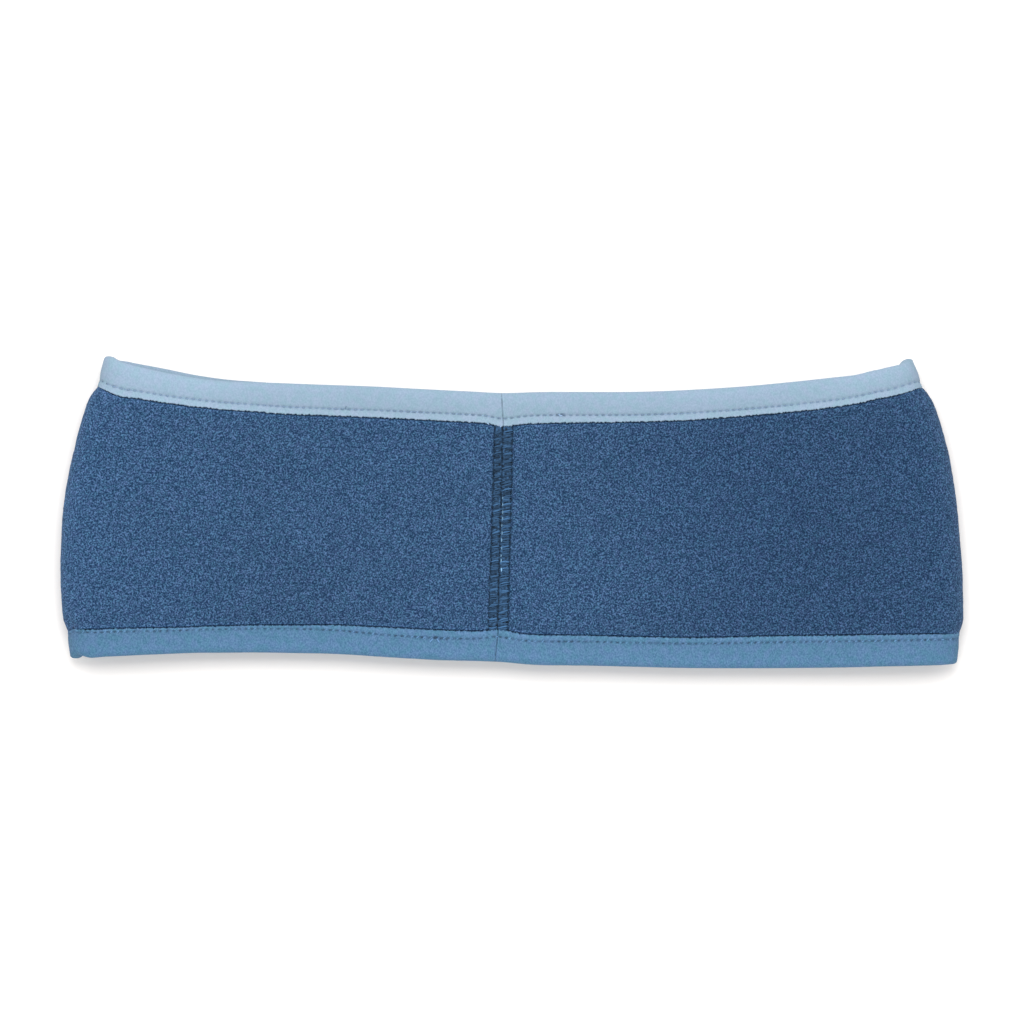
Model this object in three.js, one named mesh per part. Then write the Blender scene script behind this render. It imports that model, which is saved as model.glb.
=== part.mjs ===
// Ear warmer headband, lying flat: one strip of thick fleece closed into a loop by a flatlock
// seam, with a stretch binding folded over its top edge and another over its bottom edge.
// The loop is folded at both ends, so a front layer lies over a back layer with room between.
// Millimetres. X runs along the band, Y from its bottom edge to its top edge, Z up.
// The origin is the middle of the footprint, on the surface that the band lies on.
import * as THREE from "three";

const { lerp, clamp, smoothstep } = THREE.MathUtils;

// Driving dimensions
const FLAT_WIDTH = 252; // fold to fold at the widest, half of the way round
const CENTRE_HEIGHT = 75.4; // bottom edge to top edge at the seam
const END_RISE = 10.3; // how far the top edge climbs from the seam to the ends
const HEM_SWAY = 4.3; // how far the bottom edge wanders along the band
const FLEECE_THICKNESS = 3;
const BOUND_THICKNESS = 1.2; // the fleece where a binding squeezes it
const BINDING_WIDTH = 8.2; // outer edge to lip, where it is neither eased nor pulled
const BINDING_WALL = 1; // the tape, turned under on itself
const BINDING_INSET = 1.1; // how far the tight binding pulls each fold in
const STITCH_SETBACK = 2; // from a binding's lip to its line of topstitching
const STITCH_DENT = 0.22; // how deep the topstitching pulls the tape in
const FIT_GAP = 0.3; // between pieces that touch on the real band
const LAYER_GAP = 4.8; // between the bindings of the two layers, halfway along
const END_GAP = 6.4; // the same near the folds
const FOLD_REACH = 5.6; // how far each fold's round runs along the band
const FLEECE_CROWN = 0.9; // how far the front layer swells between its bindings
const LAYER_SLIP = 0.7; // how far the back layer shows past the front one
const SEAM_WIDTH = 5.8;
const SEAM_THREADS = 0.6; // thickness of the thread ladder on each face
const SEAM_WEB = 0.6; // the threads that pass between the fleece's two ends
const SEAM_BED = 1.6; // the fleece squeezed between the two thread ladders
const SEAM_TOP_X = -2.6; // the seam at the top edge, from the middle of the band
const SEAM_BOTTOM_X = -4.4;
const SEAM_TAB = 1.1; // how far each binding's lip dips where it crosses the seam
const SEAM_TAB_REACH = 4.2;
const PUFF_LENGTH = 1.4; // from a binding's lip to the fleece's full thickness
const SETTLE_LENGTH = 2.4; // from a lip to where the fleece rests on the surface below
const INSET_LENGTH = 2.1; // from a lip to the fold's full reach
const BED_SLOPE = 1; // from the seam's threads to the fleece's full thickness

// Where each fold runs, from the bottom edge (0) to the top edge (1), in half widths
const FOLD_LINE = [
  { at: 0, left: 0.989, right: 0.997 },
  { at: 0.15, left: 0.998, right: 1.001 },
  { at: 0.3, left: 1.001, right: 0.999 },
  { at: 0.45, left: 0.999, right: 0.992 },
  { at: 0.6, left: 0.984, right: 0.979 },
  { at: 0.75, left: 0.961, right: 0.959 },
  { at: 0.86, left: 0.938, right: 0.932 },
  { at: 0.9, left: 0.926, right: 0.92 },
  { at: 1, left: 0.913, right: 0.895 },
];

// Where the gap between the layers starts to widen and is widest, from the middle (0) to a fold (1)
const GAP_WIDENS = { from: 0.55, to: 0.93 };

// The front layer's top edge from the left fold (-1) to the right fold (1), in END_RISE
const TOP_EDGE = [
  { at: -1, rise: 1 },
  { at: -0.97, rise: 0.84 },
  { at: -0.84, rise: 0.53 },
  { at: -0.7, rise: 0.29 },
  { at: -0.55, rise: 0.2 },
  { at: -0.3, rise: 0.13 },
  { at: -0.03, rise: 0 },
  { at: 0.12, rise: 0.03 },
  { at: 0.35, rise: 0.03 },
  { at: 0.55, rise: 0.13 },
  { at: 0.75, rise: 0.32 },
  { at: 0.865, rise: 0.46 },
  { at: 0.915, rise: 0.59 },
  { at: 0.965, rise: 0.67 },
  { at: 1, rise: 0.92 },
];

// The bottom edge above its height at the seam, in HEM_SWAY
const BOTTOM_EDGE = [
  { at: -1, lift: 0.22 },
  { at: -0.985, lift: 0.4 },
  { at: -0.96, lift: 0.31 },
  { at: -0.82, lift: 0.5 },
  { at: -0.7, lift: 0.66 },
  { at: -0.46, lift: 0.66 },
  { at: -0.28, lift: 0.34 },
  { at: -0.1, lift: 0.1 },
  { at: 0.1, lift: -0.16 },
  { at: 0.35, lift: -0.31 },
  { at: 0.62, lift: -0.33 },
  { at: 0.87, lift: -0.24 },
  { at: 0.97, lift: -0.17 },
  { at: 1, lift: -0.12 },
];

// How far the back layer's edges lie above the front layer's, in LAYER_SLIP
const BACK_EDGES = [
  { at: -1, top: 0, bottom: -0.3 },
  { at: -0.95, top: 0.6, bottom: 0.3 },
  { at: -0.8, top: 1, bottom: 0.6 },
  { at: -0.55, top: 0, bottom: 0.6 },
  { at: -0.3, top: -0.5, bottom: 0.6 },
  { at: 0.85, top: -0.5, bottom: 0.6 },
  { at: 1, top: 0, bottom: 0 },
];

// Each binding's width along the band, in BINDING_WIDTH
const BINDING_WIDTHS = [
  { at: -1, top: 1.12, bottom: 0.95 },
  { at: -0.8, top: 1.02, bottom: 0.96 },
  { at: -0.6, top: 0.95, bottom: 0.94 },
  { at: -0.3, top: 1, bottom: 0.98 },
  { at: 0, top: 1.02, bottom: 1 },
  { at: 0.4, top: 0.98, bottom: 1.02 },
  { at: 0.7, top: 0.97, bottom: 1.06 },
  { at: 1, top: 0.97, bottom: 1.08 },
];

// Mesh steps
const FRONT_STEPS = 11; // from beside the seam to each fold
const FOLD_STEPS = 8;
const BACK_STEPS = 14;
const BODY_STEPS = 4; // between the two zones that the bindings shape
const ARC_STEPS = 4; // round a binding's outer edge
const SLOPE = 1e-4; // the step that measures the cloth's slope, as a share of its length

// Sizes that follow from them
const HALF_WIDTH = FLAT_WIDTH / 2;
const BINDING_BORE = BOUND_THICKNESS / 2 + FIT_GAP; // half of the slot that holds the fleece
const BINDING_HALF = BINDING_BORE + BINDING_WALL;
const PATTERN_HEIGHT = CENTRE_HEIGHT + END_RISE;
const LADDER_INSIDE = SEAM_BED / 2 + FIT_GAP;
const LADDER_OUTSIDE = LADDER_INSIDE + SEAM_THREADS;
const SEAM_HALF = SEAM_WIDTH / 2;
const STRIP_END = SEAM_WEB / 2 + FIT_GAP; // from the seam's middle to an end of the strip
const BED_EDGE = SEAM_HALF + FIT_GAP;
const SEAM_ZONE = BED_EDGE + BED_SLOPE + SEAM_TAB_REACH;
const WIDEST = Math.max(...BINDING_WIDTHS.flatMap((row) => [row.top, row.bottom]));
const LONGEST_SLOPE = Math.max(PUFF_LENGTH, SETTLE_LENGTH, INSET_LENGTH);
const SHAPED_ZONE = WIDEST * BINDING_WIDTH + SEAM_TAB + LONGEST_SLOPE; // from an edge inwards
const SHAPED_SHARE = SHAPED_ZONE / PATTERN_HEIGHT;

// A table's column at one place: a smooth curve through its rows.
function read(table, column, at) {
  const x = clamp(at, table[0].at, table.at(-1).at);
  const last = table.length - 1;
  const i = clamp(table.findIndex((row) => row.at >= x) - 1, 0, last - 1);
  const slope = (a, b) => (table[b][column] - table[a][column]) / (table[b].at - table[a].at);
  const before = slope(Math.max(i - 1, 0), i + 1);
  const after = slope(i, Math.min(i + 2, last));
  const span = table[i + 1].at - table[i].at;
  const t = (x - table[i].at) / span;
  const start = table[i][column];
  const end = table[i + 1][column];
  return (
    (2 * t ** 3 - 3 * t ** 2 + 1) * start +
    (t ** 3 - 2 * t ** 2 + t) * span * before +
    (3 * t ** 2 - 2 * t ** 3) * end +
    (t ** 3 - t ** 2) * span * after
  );
}

// The cloth's middle surface. `rise` runs from the bottom edge (0) to the top edge (1), and is
// true to length near both. `round` runs round the loop: 0 to 1 along the front layer from the
// seam to the right fold, 1 to 2 round that fold, 2 to 3 along the back layer, 3 to 4 round the
// left fold, and 4 to 5 back along the front layer to the seam.
const SEAM_SHARE = 0.1; // the part of a front stretch's 0 to 1 that covers SEAM_ZONE
const FOLD_MIDDLE = { right: 1.5, left: 3.5 }; // where `round` is at the end of each fold

const edgeDistance = (rise) => Math.min(rise, 1 - rise) * PATTERN_HEIGHT;
const seamX = (rise) => lerp(SEAM_BOTTOM_X, SEAM_TOP_X, rise);

// Distance along the front layer from the seam, for `t` from 0 to 1.
function fromSeam(t, length) {
  if (t < SEAM_SHARE) return (SEAM_ZONE * t) / SEAM_SHARE;
  return lerp(SEAM_ZONE, length, (t - SEAM_SHARE) / (1 - SEAM_SHARE));
}

// Distance from the seam on the front layer; anywhere else, far from it.
function seamDistance(round) {
  const t = Math.min(round, 5 - round);
  return t <= SEAM_SHARE ? fromSeam(t, FLAT_WIDTH) : FLAT_WIDTH;
}

// How far along the band a place is, from the left fold (-1) to the right fold (1).
function alongAt(round) {
  if (round > 2.5) return -alongAt(5 - round);
  if (round > 2) return lerp(1, 0, (round - 2) / 0.5);
  return round > 1 ? 1 : fromSeam(round, HALF_WIDTH) / HALF_WIDTH;
}

// From the band's nearer edge to the lip of the binding on it.
function lipDistance(round, isTop) {
  const width = read(BINDING_WIDTHS, isTop ? "top" : "bottom", alongAt(round));
  const tab = SEAM_TAB * Math.exp(-((seamDistance(round) / SEAM_TAB_REACH) ** 2));
  return BINDING_WIDTH * width + tab;
}

// 0 under a binding, and 1 from some length past its lip.
function pastLip(round, rise, length) {
  const lip = lipDistance(round, rise > 0.5);
  return smoothstep(edgeDistance(rise), lip, lip + length);
}

// Height of the back layer's middle, which puts its outer face on the surface below.
function restHeight(round, rise) {
  return lerp(BINDING_HALF, FLEECE_THICKNESS / 2, pastLip(round, rise, SETTLE_LENGTH));
}

function frontHeight(along, rise) {
  const apart = lerp(LAYER_GAP, END_GAP, smoothstep(Math.abs(along), GAP_WIDENS.from, GAP_WIDENS.to));
  const swell = smoothstep(edgeDistance(rise), BINDING_WIDTH - STITCH_SETBACK, SHAPED_ZONE);
  return 3 * BINDING_HALF + apart + FLEECE_CROWN * swell;
}

function foldX(side, rise) {
  const middle = FOLD_MIDDLE[side];
  const inset = BINDING_INSET * (1 - pastLip(middle, rise, INSET_LENGTH));
  return HALF_WIDTH * read(FOLD_LINE, side, rise) - inset - restHeight(middle, rise);
}

function clothPoint(round, rise) {
  const rightEnd = foldX("right", rise) - FOLD_REACH;
  const leftEnd = -(foldX("left", rise) - FOLD_REACH);
  let x;
  let turn; // 0 on the front layer, half a turn on the back layer
  if (round <= 1) {
    x = seamX(rise) + fromSeam(round, rightEnd - seamX(rise));
    turn = 0;
  } else if (round <= 2) {
    turn = Math.PI * (round - 1);
    x = rightEnd + FOLD_REACH * Math.sin(turn);
  } else if (round <= 3) {
    turn = Math.PI;
    x = lerp(rightEnd, leftEnd, round - 2);
  } else if (round <= 4) {
    turn = Math.PI * (4 - round);
    x = leftEnd - FOLD_REACH * Math.sin(turn);
  } else {
    x = seamX(rise) - fromSeam(5 - round, seamX(rise) - leftEnd);
    turn = 0;
  }
  const along = clamp(x / foldX(x < 0 ? "left" : "right", rise), -1, 1);
  const back = (1 - Math.cos(turn)) / 2;
  const slip = LAYER_SLIP * back;
  const top = END_RISE * read(TOP_EDGE, "rise", along) + slip * read(BACK_EDGES, "top", along);
  const bottom =
    HEM_SWAY * read(BOTTOM_EDGE, "lift", along) + slip * read(BACK_EDGES, "bottom", along);
  const height = CENTRE_HEIGHT + top - bottom;
  const y =
    bottom +
    PATTERN_HEIGHT * rise -
    (PATTERN_HEIGHT - height) * smoothstep(rise, SHAPED_SHARE, 1 - SHAPED_SHARE);
  const low = restHeight(round, rise);
  const high = frontHeight(along, rise);
  const z = lerp(high, low, back);
  return new THREE.Vector3(x, y, z);
}

// A point at a distance from the middle surface, outwards where it is positive.
function offsetPoint(round, rise, distance) {
  const r0 = clamp(round, SLOPE, 5 - SLOPE);
  const w0 = clamp(rise, SLOPE, 1 - SLOPE);
  const along = clothPoint(r0 + SLOPE, w0).sub(clothPoint(r0 - SLOPE, w0));
  const up = clothPoint(r0, w0 + SLOPE).sub(clothPoint(r0, w0 - SLOPE));
  const normal = along.cross(up).normalize();
  return clothPoint(round, rise).addScaledVector(normal, distance);
}

// Half of the fleece's thickness, thin in the bindings and under the seam's threads.
function fleeceHalf(round, rise) {
  const past = edgeDistance(rise) - lipDistance(round, rise > 0.5);
  const puff = smoothstep(past, 0.5 * FIT_GAP, PUFF_LENGTH);
  const clear = smoothstep(seamDistance(round), BED_EDGE, BED_EDGE + BED_SLOPE);
  return lerp(BOUND_THICKNESS, lerp(SEAM_BED, FLEECE_THICKNESS, clear), puff) / 2;
}

// Places round the loop
const nearSeam = (distance) => (SEAM_SHARE * distance) / SEAM_ZONE;
const spread = (from, to, steps) =>
  Array.from({ length: steps }, (_, i) => lerp(from, to, (i + 1) / steps));

function loopStations(firstDistances) {
  const front = [...firstDistances.map(nearSeam), ...spread(SEAM_SHARE, 1, FRONT_STEPS)];
  return [
    ...front,
    ...spread(1, 2, FOLD_STEPS),
    ...spread(2, 3, BACK_STEPS),
    ...spread(3, 4, FOLD_STEPS),
    ...front.slice(0, -1).reverse().map((t) => 5 - t),
  ];
}

// Builds a closed mesh from rings of points, each ring in the same order. A loop joins its last
// ring to its first; a strip closes each end with the triangles in `cap`.
function loft(rings, cap) {
  const size = rings[0].length;
  const index = [];
  const joins = cap ? rings.length - 1 : rings.length;
  for (let i = 0; i < joins; i++) {
    const a = i * size;
    const b = ((i + 1) % rings.length) * size;
    for (let j = 0; j < size; j++) {
      const k = (j + 1) % size;
      index.push(a + j, b + j, b + k, a + j, b + k, a + k);
    }
  }
  if (cap) {
    const end = (rings.length - 1) * size;
    for (const [p, q, r] of cap) {
      index.push(p, q, r);
      index.push(end + p, end + r, end + q);
    }
  }
  const geometry = new THREE.BufferGeometry().setFromPoints(rings.flat());
  geometry.setIndex(index);
  geometry.computeVertexNormals();
  return geometry;
}

const piece = (name, geometry, color, roughness) => {
  const material = new THREE.MeshStandardMaterial({ color, roughness, metalness: 0 });
  const mesh = new THREE.Mesh(geometry, material);
  mesh.name = name;
  return mesh;
};

// Fleece strip

// Heights of its rows at one place, from just inside one binding to just inside the other.
function fleeceRises(round) {
  const shares = (isTop) => {
    const lip = lipDistance(round, isTop);
    const past = [0.5 * FIT_GAP, 0.5 * PUFF_LENGTH, PUFF_LENGTH].map((d) => lip + d);
    return [BINDING_HALF - FIT_GAP, ...past].map((d) => d / PATTERN_HEIGHT);
  };
  const middle = [SHAPED_SHARE, ...spread(SHAPED_SHARE, 1 - SHAPED_SHARE, BODY_STEPS)];
  return [...shares(false), ...middle, ...shares(true).map((w) => 1 - w).reverse()];
}

function fleeceStrip() {
  const slopeEnd = BED_EDGE + BED_SLOPE;
  const stations = loopStations([
    STRIP_END,
    BED_EDGE,
    slopeEnd,
    (slopeEnd + SEAM_ZONE) / 2,
    SEAM_ZONE,
  ]);
  const rings = stations.map((round) => {
    const rises = fleeceRises(round);
    const face = (sign) => (w) => offsetPoint(round, w, sign * fleeceHalf(round, w));
    return [...rises.map(face(1)), ...rises.map(face(-1)).reverse()];
  });
  const rows = rings[0].length / 2;
  const cap = [];
  for (let i = 0; i < rows - 1; i++) {
    const inner = 2 * rows - 1 - i;
    cap.push([i, i + 1, inner - 1], [i, inner - 1, inner]);
  }
  return loft(rings, cap);
}

// Bindings

// A binding's section: distance from the edge and from the cloth's middle, clockwise from the
// lip on the outer face, round the edge, to the lip on the inner face and back inside.
function bindingSection(lip) {
  const stitches = lip - STITCH_SETBACK;
  const outer = [
    [lip, BINDING_HALF],
    [stitches, BINDING_HALF - STITCH_DENT],
    [0.5 * stitches, BINDING_HALF],
  ];
  const inner = [[lip, BINDING_BORE]];
  const arc = (radius, sign) =>
    Array.from({ length: ARC_STEPS + 1 }, (_, i) => {
      const angle = (Math.PI * i) / ARC_STEPS;
      return [BINDING_HALF - radius * Math.sin(angle), sign * radius * Math.cos(angle)];
    });
  const mirror = (points) => points.map(([d, o]) => [d, -o]).reverse();
  return [
    ...outer,
    ...arc(BINDING_HALF, 1),
    ...mirror(outer),
    ...mirror(inner),
    ...arc(BINDING_BORE, -1),
    ...inner,
  ];
}

function bindingLoop(isTop) {
  const distances = [0, 0.5 * SEAM_TAB_REACH, SEAM_TAB_REACH, SEAM_ZONE];
  const stations = loopStations(distances).slice(0, -1);
  const rings = stations.map((round) => {
    const section = bindingSection(lipDistance(round, isTop));
    const ring = section.map(([d, o]) => {
      const share = d / PATTERN_HEIGHT;
      return offsetPoint(round, isTop ? 1 - share : share, o);
    });
    return isTop ? ring : ring.reverse();
  });
  return loft(rings);
}

// Flatlock seam: a thread ladder on each face and the threads that join them between the
// strip's ends, as one H-shaped section that runs from binding to binding
function flatlockSeam() {
  const right = [
    [SEAM_WEB / 2, LADDER_INSIDE],
    [SEAM_HALF, LADDER_INSIDE],
    [SEAM_HALF, LADDER_OUTSIDE],
  ];
  const upper = [...right, ...right.map(([s, o]) => [-s, o]).reverse()];
  const section = [...upper, ...upper.map(([s, o]) => [-s, -o])];
  const first = (lipDistance(0, false) + FIT_GAP) / PATTERN_HEIGHT;
  const last = 1 - (lipDistance(0, true) + FIT_GAP) / PATTERN_HEIGHT;
  const rises = [
    first,
    ...spread(first, SHAPED_SHARE, 2),
    ...spread(SHAPED_SHARE, 1 - SHAPED_SHARE, BODY_STEPS),
    ...spread(1 - SHAPED_SHARE, last, 2),
  ];
  const rings = rises.map((rise) =>
    section.map(([s, o]) => offsetPoint(s < 0 ? 5 + nearSeam(s) : nearSeam(s), rise, o)),
  );
  const outline = section.map(([s, o]) => new THREE.Vector2(s, o));
  const cap = THREE.ShapeUtils.triangulateShape(outline, []);
  return loft(rings, cap);
}

const headband = new THREE.Group();
headband.add(
  piece("fleece_strip", fleeceStrip(), "#3c5a7e", 0.95),
  piece("top_binding", bindingLoop(true), "#a5bed4", 0.8),
  piece("bottom_binding", bindingLoop(false), "#608aaf", 0.8),
  piece("flatlock_seam", flatlockSeam(), "#345171", 0.85),
);

// The origin goes to the middle of the footprint.
const box = new THREE.Box3().setFromObject(headband, true);
const middle = box.getCenter(new THREE.Vector3());
for (const mesh of headband.children) mesh.position.set(-middle.x, -middle.y, -box.min.z);

export default headband;
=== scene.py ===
import math

import bpy
import numpy as np
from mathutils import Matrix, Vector


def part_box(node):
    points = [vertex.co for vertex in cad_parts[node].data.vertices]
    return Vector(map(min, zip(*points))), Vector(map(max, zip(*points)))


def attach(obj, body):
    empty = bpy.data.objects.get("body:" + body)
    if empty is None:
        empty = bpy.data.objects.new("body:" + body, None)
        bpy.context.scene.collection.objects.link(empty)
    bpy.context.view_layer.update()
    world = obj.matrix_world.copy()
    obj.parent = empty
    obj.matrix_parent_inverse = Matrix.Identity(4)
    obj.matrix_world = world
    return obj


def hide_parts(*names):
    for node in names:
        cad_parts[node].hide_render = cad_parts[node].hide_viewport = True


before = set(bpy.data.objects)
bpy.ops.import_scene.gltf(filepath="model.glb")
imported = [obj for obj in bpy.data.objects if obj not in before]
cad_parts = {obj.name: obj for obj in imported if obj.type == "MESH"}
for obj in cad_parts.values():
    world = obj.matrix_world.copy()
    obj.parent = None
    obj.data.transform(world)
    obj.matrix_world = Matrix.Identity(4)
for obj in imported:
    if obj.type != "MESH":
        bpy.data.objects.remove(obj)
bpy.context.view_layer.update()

MILLIMETRE = 0.001

# The cloth, as the frame has it
FLAT_WIDTH = 252
CENTRE_HEIGHT = 75.4
END_RISE = 10.3
HEM_SWAY = 4.3
FLEECE_THICKNESS = 3
BOUND_THICKNESS = 1.2
BINDING_WIDTH = 8.2
BINDING_WALL = 1
BINDING_INSET = 1.1
FIT_GAP = 0.3
LAYER_GAP = 4.8
END_GAP = 6.4
FOLD_REACH = 5.6
FLEECE_CROWN = 0.9
LAYER_SLIP = 0.7
SEAM_THREADS = 0.6
SEAM_WIDTH = 5.8
SEAM_WEB = 0.6
SEAM_BED = 1.6
SEAM_TOP_X = -2.6
SEAM_BOTTOM_X = -4.4
SEAM_TAB = 1.1
SEAM_TAB_REACH = 4.2
SETTLE_LENGTH = 2.4
INSET_LENGTH = 2.1
BED_SLOPE = 1
SHAPED_LENGTH = 2.4
GAP_WIDENS = (0.55, 0.93)  # where it grows from LAYER_GAP to END_GAP

FOLD_LINE = {
    "at": (0, 0.15, 0.3, 0.45, 0.6, 0.75, 0.86, 0.9, 1),
    "left": (0.989, 0.998, 1.001, 0.999, 0.984, 0.961, 0.938, 0.926, 0.913),
    "right": (0.997, 1.001, 0.999, 0.992, 0.979, 0.959, 0.932, 0.92, 0.895),
}
TOP_EDGE = {
    "at": (-1, -0.97, -0.84, -0.7, -0.55, -0.3, -0.03, 0.12, 0.35, 0.55, 0.75, 0.865, 0.915, 0.965, 1),
    "rise": (1, 0.84, 0.53, 0.29, 0.2, 0.13, 0, 0.03, 0.03, 0.13, 0.32, 0.46, 0.59, 0.67, 0.92),
}
BOTTOM_EDGE = {
    "at": (-1, -0.985, -0.96, -0.82, -0.7, -0.46, -0.28, -0.1, 0.1, 0.35, 0.62, 0.87, 0.97, 1),
    "lift": (0.22, 0.4, 0.31, 0.5, 0.66, 0.66, 0.34, 0.1, -0.16, -0.31, -0.33, -0.24, -0.17, -0.12),
}
BACK_EDGES = {
    "at": (-1, -0.95, -0.8, -0.55, -0.3, 0.85, 1),
    "top": (0, 0.6, 1, 0, -0.5, -0.5, 0),
    "bottom": (-0.3, 0.3, 0.6, 0.6, 0.6, 0.6, 0),
}
BINDING_WIDTHS = {
    "at": (-1, -0.8, -0.6, -0.3, 0, 0.4, 0.7, 1),
    "top": (1.12, 1.02, 0.95, 1, 1.02, 0.98, 0.97, 0.97),
    "bottom": (0.95, 0.96, 0.94, 0.98, 1, 1.02, 1.06, 1.08),
}

HALF_WIDTH = FLAT_WIDTH / 2
BINDING_BORE = BOUND_THICKNESS / 2 + FIT_GAP
BINDING_HALF = BINDING_BORE + BINDING_WALL
PATTERN_HEIGHT = CENTRE_HEIGHT + END_RISE
LADDER_INSIDE = SEAM_BED / 2 + FIT_GAP
LADDER_OUTSIDE = LADDER_INSIDE + SEAM_THREADS
SEAM_HALF = SEAM_WIDTH / 2
STRIP_END = SEAM_WEB / 2 + FIT_GAP
SEAM_ZONE = SEAM_HALF + FIT_GAP + BED_SLOPE + SEAM_TAB_REACH
WIDEST = max(BINDING_WIDTHS["top"] + BINDING_WIDTHS["bottom"])
SHAPED_ZONE = WIDEST * BINDING_WIDTH + SEAM_TAB + SHAPED_LENGTH
SHAPED_SHARE = SHAPED_ZONE / PATTERN_HEIGHT
SEAM_SHARE = 0.1
STITCH_PITCH = 1.82
LADDER_LEFT = -2.1  # the seam's thread as it shows, which differs from SEAM_WIDTH
LADDER_RIGHT = 3.0
LADDER_MIDDLE = (LADDER_LEFT + LADDER_RIGHT) / 2
LADDER_HALF = (LADDER_RIGHT - LADDER_LEFT) / 2

# How the cloth in the photograph differs from the frame's forms, in millimetres. `at` runs from
# the left fold (-1) to the right one (1). First the edges' height on the front and back layer.
SHOWN_TOP = {
    "at": (-1, -0.985, -0.97, -0.95, -0.88, -0.8, -0.72, -0.63, -0.4, -0.25, -0.1, -0.03, 0.045)
    + (0.15, 0.45, 0.73, 0.81, 0.92, 0.955, 0.972, 0.987, 1),
    "front": (-0.15, -0.25, -0.28, -0.3, -0.38, -0.4, -0.1, 0.45, 0.3, 0.03, 0.02, -0.12, -0.03)
    + (-0.15, 0.05, 0.1, 0.17, 0.03, 0.5, 0.25, -0.45, -0.15),
    "back": (-0.15, -0.25, 0.03, 0.05, 0.1, -0.12, 0.1, 0.45, 0.3, 0.03, 0.02, -0.12, -0.03)
    + (-0.15, 0.05, 0.1, 0.17, 0.03, 0.4, 0.25, -0.45, -0.15),
}
SHOWN_BOTTOM = {
    "at": (-1, -0.99, -0.981, -0.972, -0.96, -0.93, -0.75, -0.67, -0.6, -0.48, -0.35, -0.23, -0.17)
    + (-0.03, 0.05, 0.13, 0.18, 0.3, 0.36, 0.45, 0.75, 0.86, 0.97, 1),
    "both": (0.3, 0.85, 0.15, 0, 0.05, 0.25, 0.03, -0.13, -0.15, -0.26, 0, -0.02, -0.1)
    + (0.2, -0.15, 0.02, 0.12, 0.03, -0.08, -0.12, -0.07, 0.05, 0.06, 0.05),
}
# How much further the lips are from the edges, and then at two corners, by `turn`
SHOWN_TOP_LIP = {
    "at": (-1, -0.97, -0.9, -0.82, -0.74, -0.66, -0.58, -0.5, -0.3, -0.1, 0.1, 0.3, 0.45, 0.6, 0.75)
    + (0.85, 0.93, 1),
    "by": (0.15, -0.2, -0.3, -0.38, -0.13, 0.52, 0.98, 0.97, 0.68, 0.48, 0.68, 0.55, 0.62, 0.47, 0.44)
    + (0.3, -0.12, 0.1),
}
SHOWN_BOTTOM_LIP = {
    "at": (-1, -0.96, -0.89, -0.78, -0.66, -0.5, -0.32, -0.17, -0.08, 0.1, 0.25, 0.45, 0.6, 0.72, 0.87, 1),
    "by": (-0.05, 0.1, -0.15, -0.48, -0.05, 0.2, 0.45, 0.52, 0.4, 0.4, 0.35, 0.33, 0.55, 0.56, 0.36, 0.2),
}
TOP_RIGHT_LIP = {
    "turn": (1, 1.08, 1.16, 1.27, 1.36, 1.43, 1.5, 1.8),
    "by": (0, -0.12, -0.24, -0.3, 0.25, 0.8, 0.9, 0),
}
BOTTOM_LEFT_LIP = {
    "turn": (3.2, 3.5, 3.62, 3.69, 3.74, 3.81, 3.87, 3.94, 4, 4.008, 4.02),
    "by": (0, 0.1, -0.3, -0.5, -0.45, -0.12, 0.45, 0.45, 0.32, 0.14, 0),
}
# From the lips to the topstitches, and how plainly the top tape's stitches show
STITCH_LINES = {
    "at": (-1, -0.75, -0.5, -0.4, -0.25, -0.12, 0, 0.1, 0.22, 0.35, 1),
    "top": (2.15, 2.15, 2.1, 2.1, 2.2, 2.25, 2.25, 2.35, 2.2, 2.1, 2.1),
    "bottom": (0.85, 0.9, 1.05, 1.5, 2.35, 2.4, 2.1, 1.9, 1.75, 1.75, 1.65),
}
STITCH_STRENGTHS = {
    "at": (-1, -0.8, -0.55, -0.3, 0, 0.3, 0.5, 0.8, 1),
    "top": (0.12, 0.15, 0.18, 0.33, 0.58, 0.43, 0.28, 0.25, 0.2),
}
# How much further the folds stand out, by the cloth's rise
SHOWN_FOLD = {
    "at": (0, 0.06, 0.12, 0.2, 0.3, 0.4, 0.5, 0.58, 0.7, 0.74, 0.82, 0.87, 0.905, 0.935, 1),
    "left": (0, 0, -0.12, 0, 0.08, -0.17, 0, 0.1, 0.05, 0.15, 0.1, 0.17, 0.17, 0.08, 0),
    "right": (-0.1, 0, 0.1, -0.03, 0, -0.17, 0, 0.08, -0.05, -0.15, 0.1, 0.22, -0.12, 0.1, 0.22),
}
SHOWN_TAB = (0.72, 3, 4.5)  # a lip's dip at the seam: depth, and reach to the left and right
SHOWN_INSET_LENGTH = 4.6  # from a lip to where the fleece's fold stands out in full


def lerp(a, b, t):
    return a + (b - a) * t


def smoothstep(x, low, high):
    t = np.clip((x - low) / (high - low), 0, 1)
    return t * t * (3 - 2 * t)


def bell(x, width):
    return np.exp(-((x / width) ** 2))


def read(table, column, at, places="at"):
    """A table's column at each place: a smooth curve through its rows."""
    places = np.array(table[places], float)
    values = np.array(table[column], float)
    last = len(places) - 1
    before = np.maximum(np.arange(last + 1) - 1, 0)
    after = np.minimum(np.arange(last + 1) + 1, last)
    slopes = (values[after] - values[before]) / (places[after] - places[before])
    x = np.clip(at, places[0], places[-1])
    i = np.clip(np.searchsorted(places, x) - 1, 0, last - 1)
    span = places[i + 1] - places[i]
    t = (x - places[i]) / span
    return (
        (2 * t**3 - 3 * t**2 + 1) * values[i]
        + (t**3 - 2 * t**2 + t) * span * slopes[i]
        + (3 * t**2 - 2 * t**3) * values[i + 1]
        + (t**3 - t**2) * span * slopes[i + 1]
    )


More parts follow.
